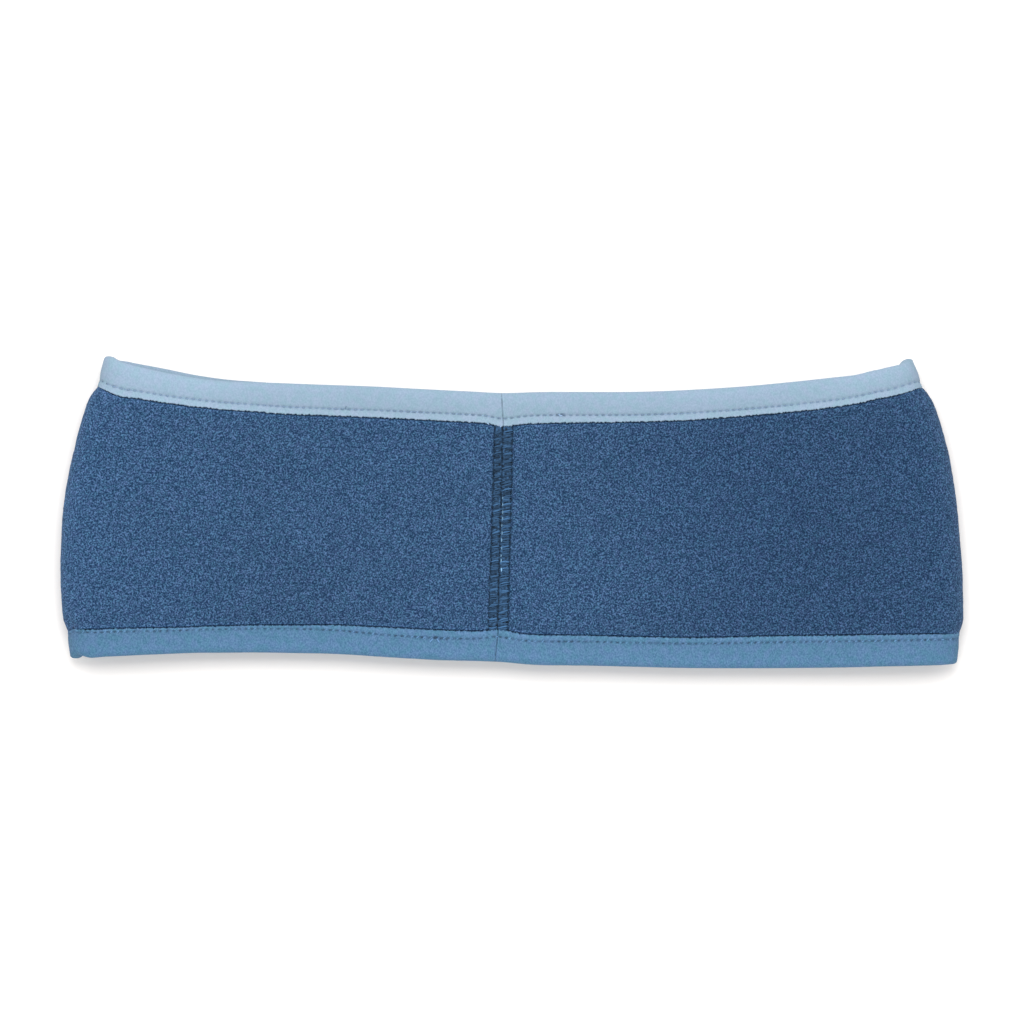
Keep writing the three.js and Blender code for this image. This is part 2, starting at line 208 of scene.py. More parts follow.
# The cloth's middle surface: `rise` runs from the bottom edge (0) to the top edge (1), and
# `turn` round the loop, 0 to 1 along the front from the seam to the right fold, 1 to 2 round
# that fold, 2 to 3 along the back, 3 to 4 round the left fold, 4 to 5 back to the seam.


def edge_distance(rise):
    return np.minimum(rise, 1 - rise) * PATTERN_HEIGHT


def seam_x(rise):
    return lerp(SEAM_BOTTOM_X, SEAM_TOP_X, rise)


def from_seam(t, length):
    far = lerp(SEAM_ZONE, length, (t - SEAM_SHARE) / (1 - SEAM_SHARE))
    return np.where(t < SEAM_SHARE, SEAM_ZONE * t / SEAM_SHARE, far)


def seam_side(turn):
    """Signed distance from the seam on the front layer; anywhere else, far from it."""
    near = np.minimum(turn, 5 - turn)
    distance = np.where(near <= SEAM_SHARE, SEAM_ZONE * near / SEAM_SHARE, FLAT_WIDTH)
    return np.where(turn > 2.5, -distance, distance)


def near_seam(distance):
    """Where `turn` is at a signed distance from the seam."""
    return np.mod(SEAM_SHARE * distance / SEAM_ZONE, 5)


def along_at(turn):
    mirrored = np.where(turn > 2.5, 5 - turn, turn)
    front = from_seam(mirrored, HALF_WIDTH) / HALF_WIDTH
    back = 1 - (mirrored - 2) / 0.5
    along = np.where(mirrored > 2, back, np.where(mirrored > 1, 1, front))
    return np.where(turn > 2.5, -along, along)


def lip_distance(turn, is_top):
    """From the band's edge to the lip of the binding on it."""
    along = along_at(turn)
    top = read(BINDING_WIDTHS, "top", along)
    bottom = read(BINDING_WIDTHS, "bottom", along)
    tab = SEAM_TAB * bell(seam_side(turn), SEAM_TAB_REACH)
    return BINDING_WIDTH * np.where(is_top, top, bottom) + tab


def lip_shown(turn, is_top):
    along = along_at(turn)
    more = np.where(is_top, read(SHOWN_TOP_LIP, "by", along), read(SHOWN_BOTTOM_LIP, "by", along))
    side = seam_side(turn)
    height, left_reach, right_reach = SHOWN_TAB
    tab = height * bell(side, np.where(side < 0, left_reach, right_reach))
    tab = tab - SEAM_TAB * bell(side, SEAM_TAB_REACH)
    top_corner = read(TOP_RIGHT_LIP, "by", turn, "turn")
    bottom_corner = read(BOTTOM_LEFT_LIP, "by", turn, "turn")
    return lip_distance(turn, is_top) + more + tab + np.where(is_top, top_corner, bottom_corner)


def stitch_line(turn, is_top):
    """From a binding's lip to its topstitching."""
    along = along_at(turn)
    return np.where(is_top, read(STITCH_LINES, "top", along), read(STITCH_LINES, "bottom", along))


def past_lip(turn, rise, length):
    lip = lip_distance(turn, rise > 0.5)
    return smoothstep(edge_distance(rise), lip, lip + length)


def rest_height(turn, rise):
    return lerp(BINDING_HALF, FLEECE_THICKNESS / 2, past_lip(turn, rise, SETTLE_LENGTH))


def front_height(along, rise):
    apart = lerp(LAYER_GAP, END_GAP, smoothstep(np.abs(along), *GAP_WIDENS))
    swell = smoothstep(edge_distance(rise), BINDING_WIDTH - 2, SHAPED_ZONE)
    return 3 * BINDING_HALF + apart + FLEECE_CROWN * swell


def fold_x(side, rise, shown):
    middle = {"right": 1.5, "left": 3.5}[side]
    if shown:
        past = edge_distance(rise) - lip_shown(middle, rise > 0.5)
        share = np.clip(past / SHOWN_INSET_LENGTH, 0, 1)
        inset = BINDING_INSET * (1 - share * (3 - share**2) / 2) - read(SHOWN_FOLD, side, rise)
    else:
        inset = BINDING_INSET * (1 - past_lip(middle, rise, INSET_LENGTH))
    return HALF_WIDTH * read(FOLD_LINE, side, rise) - inset - rest_height(middle, rise)


def cloth_point(turn, rise, shown=True):
    turn, rise = np.broadcast_arrays(np.asarray(turn, float), np.asarray(rise, float))
    right_fold = fold_x("right", rise, shown)
    left_fold = fold_x("left", rise, shown)
    right_end = right_fold - FOLD_REACH
    left_end = FOLD_REACH - left_fold
    seam = seam_x(rise)
    stretch = np.clip(np.ceil(turn), 1, 5)
    angle = np.select(
        [stretch == 1, stretch == 2, stretch == 3, stretch == 4],
        [0 * turn, np.pi * (turn - 1), np.pi + 0 * turn, np.pi * (4 - turn)],
        0,
    )
    x = np.select(
        [stretch == 1, stretch == 2, stretch == 3, stretch == 4],
        [
            seam + from_seam(turn, right_end - seam),
            right_end + FOLD_REACH * np.sin(angle),
            lerp(right_end, left_end, turn - 2),
            left_end - FOLD_REACH * np.sin(angle),
        ],
        seam - from_seam(5 - turn, seam - left_end),
    )
    along = np.clip(x / np.where(x < 0, left_fold, right_fold), -1, 1)
    back = (1 - np.cos(angle)) / 2
    slip = LAYER_SLIP * back
    top = END_RISE * read(TOP_EDGE, "rise", along) + slip * read(BACK_EDGES, "top", along)
    bottom = HEM_SWAY * read(BOTTOM_EDGE, "lift", along) + slip * read(BACK_EDGES, "bottom", along)
    if shown:
        top = top + lerp(read(SHOWN_TOP, "front", along), read(SHOWN_TOP, "back", along), back)
        bottom = bottom + read(SHOWN_BOTTOM, "both", along)
    spare = PATTERN_HEIGHT - (CENTRE_HEIGHT + top - bottom)
    taken = spare * smoothstep(rise, SHAPED_SHARE, 1 - SHAPED_SHARE)
    y = bottom + PATTERN_HEIGHT * rise - taken
    z = lerp(front_height(along, rise), rest_height(turn, rise), back)
    return np.stack([x, y, z], axis=-1)


def unit(vectors):
    return vectors / np.linalg.norm(vectors, axis=-1, keepdims=True)


def cloth_frame(turn, rise, shown=True):
    """The cloth's point, its direction round the loop and its outward direction."""
    step = 1e-4
    t = np.clip(turn, step, 5 - step)
    w = np.clip(rise, step, 1 - step)
    along = cloth_point(t + step, w, shown) - cloth_point(t - step, w, shown)
    up = cloth_point(t, w + step, shown) - cloth_point(t, w - step, shown)
    return cloth_point(turn, rise, shown), unit(along), unit(np.cross(along, up))


def offset_point(turn, rise, distance, shown=True):
    point, _, outward = cloth_frame(turn, rise, shown)
    return point + outward * np.asarray(distance, float)[..., None]


def edge_rise(distance, is_top):
    """The rise of a place at a distance from one of the cloth's edges."""
    share = np.asarray(distance, float) / PATTERN_HEIGHT
    return np.where(is_top, 1 - share, share)


STITCH_RISES = {is_top: edge_rise(BINDING_WIDTH - 1.75, is_top) for is_top in (True, False)}


def frame_shift():
    """From the formulas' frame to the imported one, by the flatlock seam's corners."""
    ends = [(lip_distance(0.0, is_top) + FIT_GAP) / PATTERN_HEIGHT for is_top in (False, True)]
    rises = np.array([ends[0], 0.5, 1 - ends[1]])
    turns = near_seam(np.array([-SEAM_HALF, SEAM_HALF]))
    corners = [offset_point(turns[:, None], rises, side * LADDER_OUTSIDE, False) for side in (-1, 1)]
    corners = np.concatenate(corners).reshape(-1, 3)
    low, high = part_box("flatlock_seam")
    middle = (np.array(low) + np.array(high)) / 2 / MILLIMETRE
    return middle - (corners.min(0) + corners.max(0)) / 2


SHIFT = frame_shift()


def waves(points, size, seed, count=24):
    """Smooth noise from -1 to 1 with features of about `size`: a sum of seeded plane waves."""
    local = np.random.default_rng(seed)
    directions = unit(local.normal(size=(count, 3)))
    lengths = size * local.uniform(0.7, 1.5, count)
    phases = local.uniform(0, 2 * np.pi, count)
    total = np.zeros(points.shape[:-1])
    for direction, length, phase in zip(directions, lengths, phases):
        total += np.sin(points @ direction * (np.pi / length) + phase)
    return total / math.sqrt(count)


def loop_turns(rise, steps, seam_step=None, seam_reach=3.0, trim=0.0):
    """Places round the loop at the given steps on its front and back layers, and their
    distances from the seam along the cloth."""
    start = near_seam(trim)
    fine = np.linspace(start, 5 - start, 24001)
    points = cloth_point(fine, rise)
    lengths = np.linalg.norm(np.diff(points, axis=0), axis=1)
    middle = (fine[1:] + fine[:-1]) / 2
    step = np.where((middle > 2) & (middle < 3), steps["back"], steps["front"])
    if seam_step:
        step = np.where(np.abs(seam_side(middle)) < seam_reach, seam_step, step)
    counts = np.concatenate([[0], np.cumsum(lengths / step)])
    distances = np.concatenate([[0], np.cumsum(lengths)])
    wanted = np.linspace(0, counts[-1], int(round(counts[-1])) + 1)
    return np.interp(wanted, counts, fine), np.interp(wanted, counts, distances)


def loft(rings, is_loop, first=0):
    """Quads between rings of points, as vertex numbers; an open loft gets a face at each end."""
    ring_count, size = rings.shape[:2]
    joins = ring_count if is_loop else ring_count - 1
    a = np.arange(joins)[:, None] * size + np.arange(size) + first
    along = (np.arange(joins)[:, None] + 1) % ring_count * size
    b = along + np.arange(size) + first
    c = along + (np.arange(size) + 1) % size + first
    d = np.arange(joins)[:, None] * size + (np.arange(size) + 1) % size + first
    faces = np.stack([a, b, c, d], axis=-1).reshape(-1, 4).tolist()
    if not is_loop:
        faces.append(list(range(first, first + size)))
        last = first + (ring_count - 1) * size
        faces.append(list(range(last, last + size))[::-1])
    return faces


def make_piece(name, points, faces, material, attributes=()):
    mesh = bpy.data.meshes.new(name)
    places = (points.reshape(-1, 3) + SHIFT) * MILLIMETRE
    places[:, 2] = np.maximum(places[:, 2], 0)  # flat where it rests
    mesh.from_pydata(places.tolist(), [], faces)
    for key, values in dict(attributes).items():
        attribute = mesh.attributes.new(key, "FLOAT", "POINT")
        attribute.data.foreach_set("value", np.asarray(values, np.float32).ravel())
    mesh.polygons.foreach_set("use_smooth", [True] * len(mesh.polygons))
    mesh.materials.append(material)
    mesh.update()
    piece = bpy.data.objects.new(name, mesh)
    bpy.context.scene.collection.objects.link(piece)
    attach(piece, "root")
    return piece


# Materials

STUDIO_LIGHT = 1.53  # how much light the studio sends back from a white surface
TILT = (0.62, 0.41)  # of the noise about X and Y, so that it is alike at every height

# Colours as they show in the studio, from 0 to 255
# The fleece's two colours paint the shade in its pile's depths and the light on its tips
FLEECE_SHADED_DEPTHS = (20, 52, 88)
FLEECE_LIT_TIPS = (91, 131, 174)
TOP_TAPE = (156, 182, 204)
BOTTOM_TAPE = (90, 134, 171)
# the top thread is darker than its tape by painted shade, for the dents it lies in
SHADED_TOP_THREAD = (128, 152, 180)
BOTTOM_THREAD = (89, 126, 164)
SEAM_THREAD = (75, 121, 168)
PALE_THREAD = (128, 172, 205)


class Shader:
    """A material whose nodes are added one call at a time."""

    def __init__(self, name):
        self.material = bpy.data.materials.new(name)
        self.material.use_nodes = True
        self.tree = self.material.node_tree
        self.surface = self.tree.nodes["Principled BSDF"]
        self.place = self.add("ShaderNodeTexCoord").outputs["Object"]

    def add(self, kind, inputs=(), **settings):
        node = self.tree.nodes.new(kind)
        for key, value in settings.items():
            setattr(node, key, value)
        for key, value in dict(inputs).items():
            self.put(node.inputs[key], value)
        return node

    def put(self, socket, value):
        if isinstance(value, bpy.types.NodeSocket):
            self.tree.links.new(value, socket)
        else:
            socket.default_value = value

    def noise(self, size, detail=2.0, roughness=0.5, place=None):
        """Noise with cells of `size` millimetres."""
        inputs = {
            "Vector": place or self.place,
            "Scale": 1 / (size * MILLIMETRE),
            "Detail": detail,
            "Roughness": roughness,
        }
        return self.add("ShaderNodeTexNoise", inputs).outputs["Fac"]

    def math(self, operation, *values):
        node = self.add("ShaderNodeMath", operation=operation)
        for socket, value in zip(node.inputs, values):
            self.put(socket, value)
        return node.outputs[0]

    def ramp(self, value, low, high, to_low=0.0, to_high=1.0):
        inputs = {"Value": value, "From Min": low, "From Max": high, "To Min": to_low, "To Max": to_high}
        return self.add("ShaderNodeMapRange", inputs).outputs["Result"]

    def attribute(self, name):
        return self.add("ShaderNodeAttribute", attribute_name=name).outputs["Fac"]

    def mix(self, share, first, second, blend="MIX"):
        node = self.add("ShaderNodeMix", data_type="RGBA", blend_type=blend)
        self.put(node.inputs[0], share)
        self.put(node.inputs[6], first)
        self.put(node.inputs[7], second)
        return node.outputs[2]

    def scaled(self, color, factor):
        """A colour made lighter or darker by a factor."""
        node = self.add("ShaderNodeVectorMath", operation="SCALE")
        self.put(node.inputs[0], color[:3] if isinstance(color, tuple) else color)
        self.put(node.inputs["Scale"], factor)
        return node.outputs[0]

    def tinted(self, color, share, first, second):
        """A colour multiplied by a blend of two tints."""
        tint = self.mix(share, (*first, 1), (*second, 1))
        return self.mix(1.0, color, tint, "MULTIPLY")

    def tilted(self, scale=(1, 1, 1), angle=0.0):
        """The place, scaled, tilted and turned."""
        inputs = {"Vector": self.place, "Scale": scale, "Rotation": (*TILT, angle)}
        return self.add("ShaderNodeMapping", inputs).outputs["Vector"]

    def bump(self, height, distance, strength=1.0):
        inputs = {"Height": height, "Distance": distance * MILLIMETRE, "Strength": strength}
        self.put(self.surface.inputs["Normal"], self.add("ShaderNodeBump", inputs).outputs["Normal"])

    def cloth(self, color, roughness, sheen, sheen_roughness, tint):
        surface = self.surface
        self.put(surface.inputs["Base Color"], color)
        surface.inputs["Roughness"].default_value = roughness
        surface.inputs["Specular IOR Level"].default_value = 0.2
        surface.inputs["Sheen Weight"].default_value = sheen
        surface.inputs["Sheen Roughness"].default_value = sheen_roughness
        surface.inputs["Sheen Tint"].default_value = (*tint, 1)
        return self.material


def seen(red, green, blue):
    """The pigment of what shows on a screen as this colour, from 0 to 255, in the studio."""
    shares = np.array([red, green, blue]) / 255
    light = np.where(shares > 0.04045, ((shares + 0.055) / 1.055) ** 2.4, shares / 12.92)
    return (*(light / STUDIO_LIGHT), 1)


def fleece_material():
    """Pile painted with lighter tips and darker depths, standing in for the light and shade on its curls
    that the bump alone does not give, in patches of slightly differing hue.
    """
    shader = Shader("fleece_pile")
    tilted = shader.tilted()
    curl = shader.noise(0.46, 0.0, place=tilted)
    strand = shader.noise(0.33, 0.0, place=shader.tilted(angle=1.1))
    pile = shader.math("ADD", shader.math("MULTIPLY", curl, 0.5), shader.math("MULTIPLY", strand, 0.5))
    tip = shader.math("POWER", shader.ramp(pile, 0.32, 0.68), 1.7)
    color = shader.mix(tip, seen(*FLEECE_SHADED_DEPTHS), seen(*FLEECE_LIT_TIPS))
    patches = shader.ramp(shader.noise(2.6, 1.0, place=tilted), 0.35, 0.65)
    color = shader.tinted(color, patches, (0.94, 1.0, 0.98), (1.06, 1.0, 1.02))
    specks = shader.ramp(shader.noise(0.8, 1.0, place=tilted), 0.35, 0.65)
    color = shader.tinted(color, specks, (0.88, 1.0, 0.96), (1.12, 1.0, 1.04))
    lit = shader.ramp(shader.attribute("shade"), 0.68, 0.95)
    color = shader.tinted(color, lit, (0.95, 1.02, 1.09), (0.99, 1.0, 1.01))
    color = shader.scaled(color, shader.ramp(shader.noise(22, 3.0, 0.55), 0.3, 0.7, 0.96, 1.04))
    color = shader.scaled(color, shader.attribute("shade"))
    shader.bump(pile, 0.1, 0.5)
    return shader.cloth(color, 0.95, 0.03, 0.5, (0.6, 0.75, 0.95))


def tape_material(name, color, grain):
    """Fine jersey whose stitches are lighter and darker than its colour by `grain` steps."""
    shader = Shader(name)
    fine = shader.noise(0.4, 1.0, 0.6, place=shader.tilted((1, 0.8, 1), 0.7))
    dark = seen(*(part - grain for part in color))
    light = seen(*(part + grain for part in color))
    tone = shader.mix(shader.ramp(fine, 0.32, 0.68), dark, light)
    patches = shader.ramp(shader.noise(2.2, 2.0, place=shader.tilted()), 0.38, 0.62)
    red, blue = 0.0075 * grain, 0.0038 * grain
    tone = shader.tinted(tone, patches, (1 - red, 1.0, 1 - blue), (1 + red, 1.0, 1 + blue))
    tone = shader.scaled(tone, shader.ramp(shader.noise(14, 2.0), 0.3, 0.7, 0.985, 1.015))
    tone = shader.scaled(tone, shader.attribute("shade"))
    shader.bump(fine, 0.04, 0.5)
    return shader.cloth(tone, 0.85, 0.03, 0.4, (0.8, 0.9, 1.0))


def thread_material(name, color):
    """Spun thread."""
    shader = Shader(name)
    twist = shader.noise(0.3, 2.0, 0.6)
    tone = shader.scaled(seen(*color), shader.ramp(twist, 0.25, 0.75, 0.85, 1.15))
    tone = shader.scaled(tone, shader.attribute("shade"))
    shader.bump(twist, 0.05, 0.7)
    return shader.cloth(tone, 0.8, 0.0, 0.4, (0.8, 0.9, 1.0))


# Fleece strip

FLEECE_STEPS = {"front": 0.6, "back": 1.6}
PUFF_LENGTH = 0.5
FOLD_PUFF = (0.2, 0.25)  # at the folds: its length, and how much thicker the fleece is past it
LUMPS = ((0.04, 1, 12), (0.04, 9, 13))  # height, size and seed
# Where the fleece gets darker along the band: by how much, and from which x to which
SHADE_SLOPES = ((0.07, -15, -80), (0.29, -5, 90), (0.04, 85, 110))
PAINTED_FOLD_SHEEN = (0.38, 0.5)  # painted sheen: how much lighter it is at the folds, and their reach in `turn`
LIP_PAINTED_LIGHT = {True: 0.5, False: 0.7}  # painted light: how much lighter beside the top and the bottom lip, which thins the shade there


def from_fold(turn):
    """How far `turn` is from the middle of the nearer fold."""
    return np.abs(np.abs(np.mod(turn, 5) - 2.5) - 1)


def fleece_half(turn, rise):
    """Half of the fleece's thickness, thin in the bindings and under the seam's threads."""
    past = edge_distance(rise) - lip_shown(turn, rise > 0.5)
    fold = bell(from_fold(turn), 0.35)
    puff = smoothstep(past, -0.1 * fold, lerp(PUFF_LENGTH, FOLD_PUFF[0], fold))
    side = np.abs(seam_side(turn) - LADDER_MIDDLE)
    clear = smoothstep(side, LADDER_HALF - 0.05, LADDER_HALF + 0.55)
    more = FOLD_PUFF[1] * fold * bell(past - 0.5, 0.9)
    return lerp(BOUND_THICKNESS / 2, lerp(SEAM_BED, FLEECE_THICKNESS, clear) / 2 + more, puff)


def fleece_rows(turns, lip_rows, body_rows):
    """Heights of the rows at each place: hidden in a binding, past its lip, and between."""
    sides = []
    for is_top in (False, True):
        lip = lip_shown(turns, is_top)[:, None]
        hidden = np.linspace(BINDING_HALF - FIT_GAP, 1, 3)[:-1] * np.ones_like(lip)
        hidden[:, 1] = lip[:, 0] - 0.7
        emerging = lip + np.linspace(-0.1, PUFF_LENGTH + 0.3, lip_rows)
        sides.append(np.concatenate([hidden, emerging], axis=1) / PATTERN_HEIGHT)
    low, high = sides[0], 1 - sides[1][:, ::-1]
    share = np.linspace(0, 1, body_rows + 2)[1:-1]
    body = lerp(low[:, -1:], high[:, :1], share)
    return np.concatenate([low, body, high], axis=1)


def fleece_strip(material):
    """The strip as one closed mesh: outer and inner face, joined inside the bindings."""
    turns, _ = loop_turns(0.5, FLEECE_STEPS, seam_step=0.3, trim=STRIP_END)
    outer_rises = fleece_rows(turns, 5, 84)
    inner_rises = fleece_rows(turns, 3, 9)
    columns = turns[:, None]
    outer = offset_point(columns, outer_rises, fleece_half(columns, outer_rises))
    inner = offset_point(columns, inner_rises, -fleece_half(columns, inner_rises))
    _, _, outward = cloth_frame(columns, outer_rises)
    lip = lip_shown(columns, outer_rises > 0.5)
    bare = smoothstep(edge_distance(outer_rises) - lip, 0, 2.5)
    bare = bare * smoothstep(np.abs(seam_side(columns)), SEAM_HALF + 0.3, SEAM_HALF + 2)
    lumps = sum(height * waves(outer, size, seed) for height, size, seed in LUMPS)
    outer = outer + outward * (bare * lumps)[..., None]
    rings = np.concatenate([outer, inner[:, ::-1]], axis=1)
    shade = 1 + 0.02 * waves(rings, 30, 14)
    for darker, start, stop in SHADE_SLOPES:
        shade = shade - darker * smoothstep(rings[..., 0], start, stop)
    # painted sheen at the folds
    shade = shade + PAINTED_FOLD_SHEEN[0] * bell(from_fold(columns), PAINTED_FOLD_SHEEN[1])
    all_rises = np.concatenate([outer_rises, inner_rises[:, ::-1]], axis=1)
    is_top = all_rises > 0.5
    beside_lip = edge_distance(all_rises) - lip_shown(columns, is_top)
    # painted light beside the lips, against the shade where the fleece meets them
    shade = shade + np.where(is_top, LIP_PAINTED_LIGHT[True], LIP_PAINTED_LIGHT[False]) * bell(beside_lip - 0.2, 0.5)
    faces = loft(rings, False)
    piece = make_piece("fleece_cloth", rings, faces, material, {"shade": shade})
    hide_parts("fleece_strip")
    return piece


# Bindings

TAPE_STEPS = {"front": 0.31, "back": 0.5}
STITCH_DENT = 0.3  # how deep the topstitches pull the tape in
SCALLOP = 0.04  # of the lip, between the stitches
TEETH = 0.15  # of the lip's knitted edge
OUTER_ROWS = (-0.9, -0.6, -0.35, -0.2, -0.1, 0, 0.1, 0.2, 0.35, 0.6, 1)
INNER_ROWS = (-0.6, -0.2, 0, 0.2, 0.6)
LIP_ROUND = 0.28
FOLD_SQUARE = 0.5  # the edge's roundness at the folds
BUTT_SEAM = {"x": 0.35, "lean": 0.08, "depth": 0.25, "width": 0.14, "dots": 0.9}
EDGE_PAINTED_LIGHT = 0.1  # painted light: how much lighter the tape is on its curve over the band's edge
BACK_LAYER_SHADE = -0.14  # painted shade: how much darker the tape is on the back layer, under the front layer's overhang
SPECKLE = {True: 0.03, False: 0.2}  # light and dark spots beside the top and the bottom stitches
BOTTOM_STITCH_STRENGTH = 0.3


def tape_section(lip, stitched, square):
    """A binding's section at each place: distances from the edge and from the cloth's middle,
    from inside the lip on the outer face, round the edge, to the inner face and back inside.
    `lip` and `stitched` are the lip's and the topstitching's distances from the edge, and
    `square` is 1 for a round edge and less for a squarer one."""
    lip = lip[:, None]
    stitched = stitched[:, None]
    square = square[:, None]
    same = np.ones_like(lip)

    def lip_end(angles, sign):
        distance = lip - LIP_ROUND + LIP_ROUND * np.cos(angles)
        middle = np.where(angles > 0, BINDING_HALF - LIP_ROUND, BINDING_BORE + LIP_ROUND)
        return distance, sign * (middle + LIP_ROUND * np.sin(angles)) * same

    def face(steps, shares, sign):
        near = np.minimum(stitched - np.array(steps), lip - LIP_ROUND - 0.1)
        far = lerp(stitched - steps[-1], BINDING_HALF * same, np.array(shares))
        distance = np.concatenate([near, far], axis=1)
        return distance, sign * BINDING_HALF * np.ones_like(distance)

    def edge(radius, angles):
        distance = BINDING_HALF - radius * np.sin(angles) ** square
        return distance, radius * np.cos(angles) * same

    half = math.pi / 2
    outer_lip = lip_end(np.linspace(-half, half, 8), 1)
    outer_face = face(OUTER_ROWS, np.linspace(0, 1, 7)[1:-1], 1)
    outer_edge = edge(BINDING_HALF, np.linspace(0, math.pi, 12))
    inner = face(INNER_ROWS, np.linspace(0, 1, 4)[1:-1], -1)
    inner_face = tuple(part[:, ::-1] for part in inner)
    inner_lip = lip_end(np.linspace(half, -half, 6), -1)
    bore_edge = edge(BINDING_BORE, np.linspace(math.pi, 0, 7))
    parts = [outer_lip, outer_face, outer_edge, inner_face, inner_lip, bore_edge]
    distance = np.concatenate([part[0] for part in parts], axis=1)
    height = np.concatenate([part[1] for part in parts], axis=1)
    return distance, height


def stitch_phase(length, total):
    """Where a place lies between two stitches, from 0 to 1, with whole stitches in a loop."""
    count = round(total / STITCH_PITCH)
    return np.mod(length / total * count, 1)


def tape(name, node, is_top, material):
    """A binding: a tape folded over one edge, with its stitches' dents and its butt seam."""
    turns, lengths = loop_turns(STITCH_RISES[is_top], TAPE_STEPS, seam_step=0.08, seam_reach=1.2)
    total = lengths[-1]
    turns, lengths = turns[:-1], lengths[:-1]
    phase = stitch_phase(lengths, total)[:, None]
    scallop = SCALLOP * np.cos(2 * np.pi * phase[:, 0])
    scallop = scallop + TEETH * waves(cloth_point(turns, STITCH_RISES[is_top]), 0.32, 24 + is_top)
    lip = lip_shown(turns, is_top) + scallop
    stitched = lip - scallop - stitch_line(turns, is_top)
    square = lerp(1, FOLD_SQUARE, bell(from_fold(turns), 0.5))
    distance, height = tape_section(lip, stitched, square)
    past = distance - stitched[:, None]
    to_lip = lip[:, None] - distance
    on_face = smoothstep(np.abs(height), BINDING_BORE + 0.3, BINDING_HALF)
    flat = on_face * smoothstep(distance, 0, BINDING_HALF)
    between = smoothstep(np.abs(phase - 0.5), 0.36, 0.2)
    dent = STITCH_DENT * bell(past, 0.4) * (0.45 + 0.55 * between)
    crown = 0.14 * bell(past + 2.6, 1.8) + 0.05 * bell(to_lip - 0.8, 0.5)
    side = seam_side(turns)[:, None] + BUTT_SEAM["x"] - BUTT_SEAM["lean"] * distance
    groove = BUTT_SEAM["depth"] * bell(side, BUTT_SEAM["width"]) - 0.08 * bell(side - 0.45, 0.25)
    centre = offset_point(turns[:, None], edge_rise(distance, is_top), height)
    swell = 0.04 * waves(centre, 3.5, 21) + 0.05 * waves(centre, 8, 22)
    push = flat * (crown - dent - groove + swell) * np.sign(height)
    rings = offset_point(turns[:, None], edge_rise(distance, is_top), height + push)
    lip_tone = 0.07 * smoothstep(past, 0.05, 0.4) + 0.08 * bell(to_lip, 0.35)
    # painted light on the tape's curve over the band's edge
    edge_light = EDGE_PAINTED_LIGHT * bell(distance, 4)
    strength = BOTTOM_STITCH_STRENGTH
    if is_top:
        strength = read(STITCH_STRENGTHS, "top", along_at(turns))[:, None]
    # painted shade in the topstitches' dents, darkest along the dashes; then light and dark spots near the
    # stitches and the lip
    stitch_shade_and_speckle = -0.05 * bell(past + 0.3, 0.5) - 0.45 * bell(past, 0.24) * between * strength
    speckle = np.clip(waves(centre, 0.4, 35 + is_top), -1.2, 1.2)
    near_lip = bell(past, 0.4) + 0.7 * bell(to_lip - 0.2, 0.3)
    stitch_shade_and_speckle = stitch_shade_and_speckle + SPECKLE[is_top] * speckle * near_lip
    # The butt seam: a dotted line of painted shade along its groove, and painted light on the ridge beside
    # it
    dots = 0.65 + 0.35 * np.cos(2 * np.pi * distance / BUTT_SEAM["dots"])
    seam_tone = 0.06 * bell(side - 0.35, 0.2) - 0.6 * bell(side, 0.13) * dots
    # painted shade on the back layer's tape, under the front layer
    under = BACK_LAYER_SHADE * smoothstep(1 - np.abs(turns[:, None] - 2.5), -0.3, 0)
    left_end = smoothstep(-rings[..., 0], 45, 105)
    right_end = smoothstep(rings[..., 0], 45, 105)
    end_tone = 0.08 * left_end + 0.03 * right_end if is_top else -0.03 * (left_end + right_end)
    shade = 1 + (lip_tone + stitch_shade_and_speckle) * on_face + seam_tone + edge_light + under + end_tone
    shade = np.maximum(shade, 0.15)
    if not is_top:
        rings = rings[:, ::-1]
        shade = shade[:, ::-1]
    piece = make_piece(name, rings, loft(rings, True), material, {"shade": shade})
    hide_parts(node)
    return piece


# Threads

# The stitches of the top and the bottom tape, dark dashes whose darkness is painted shade of their dents,
# and the pale thread between them:
# place and length as shares of the pitch, mean slant and its spread, radius, least and most tone
STITCH_PARTS = {
    True: ((0, 0.5, (0.15, 0.15), 0.17, (0.6, 1.15)), (0.5, 0.34, (0.5, 0.25), 0.13, (1.6, 2.2))),
    False: ((0, 0.34, (0.5, 0.6), 0.16, (0.5, 1.15)), (0.5, 0.4, (0.7, 0.4), 0.16, (1.2, 2))),
}
THREAD_TO_TAPE = 1.45  # how much lighter a tape is than its thread, whose darkness is painted shade
# Single strokes of thread: both ends as x and distance past the stitches, radius and tone
LOOSE_STROKES = {
    True: (
        (13, -0.35, 13.5, 0.3, 0.14, 2.1),
        (13.3, 0.35, 14, 0.1, 0.14, 2.1),
        (13.6, -0.5, 14.3, -0.4, 0.17, 0.8),
        (14.1, -0.35, 14.7, 0.25, 0.12, 0.95),
        (12.4, 0.1, 12.9, -0.45, 0.13, 0.9),
        (-46.4, -0.1, -46.3, -1, 0.1, 0.9),
        (-6.9, 2.2, -6.4, 2.5, 0.14, 2.1),
        (-3.4, 2.2, -3.1, 2.55, 0.12, 2.1),
    ),
    False: (
        (-22.9, -1.2, -22.1, -0.3, 0.2, 2),
        (-20.9, -0.3, -20.2, -1.2, 0.2, 2),
        (-21.6, 0.25, -20.9, 0.3, 0.24, 0.45),
        (-26.6, -0.35, -26, 0.25, 0.16, 1.9),
        (-24.8, -0.35, -24.2, 0.25, 0.16, 1.9),
    ),
}


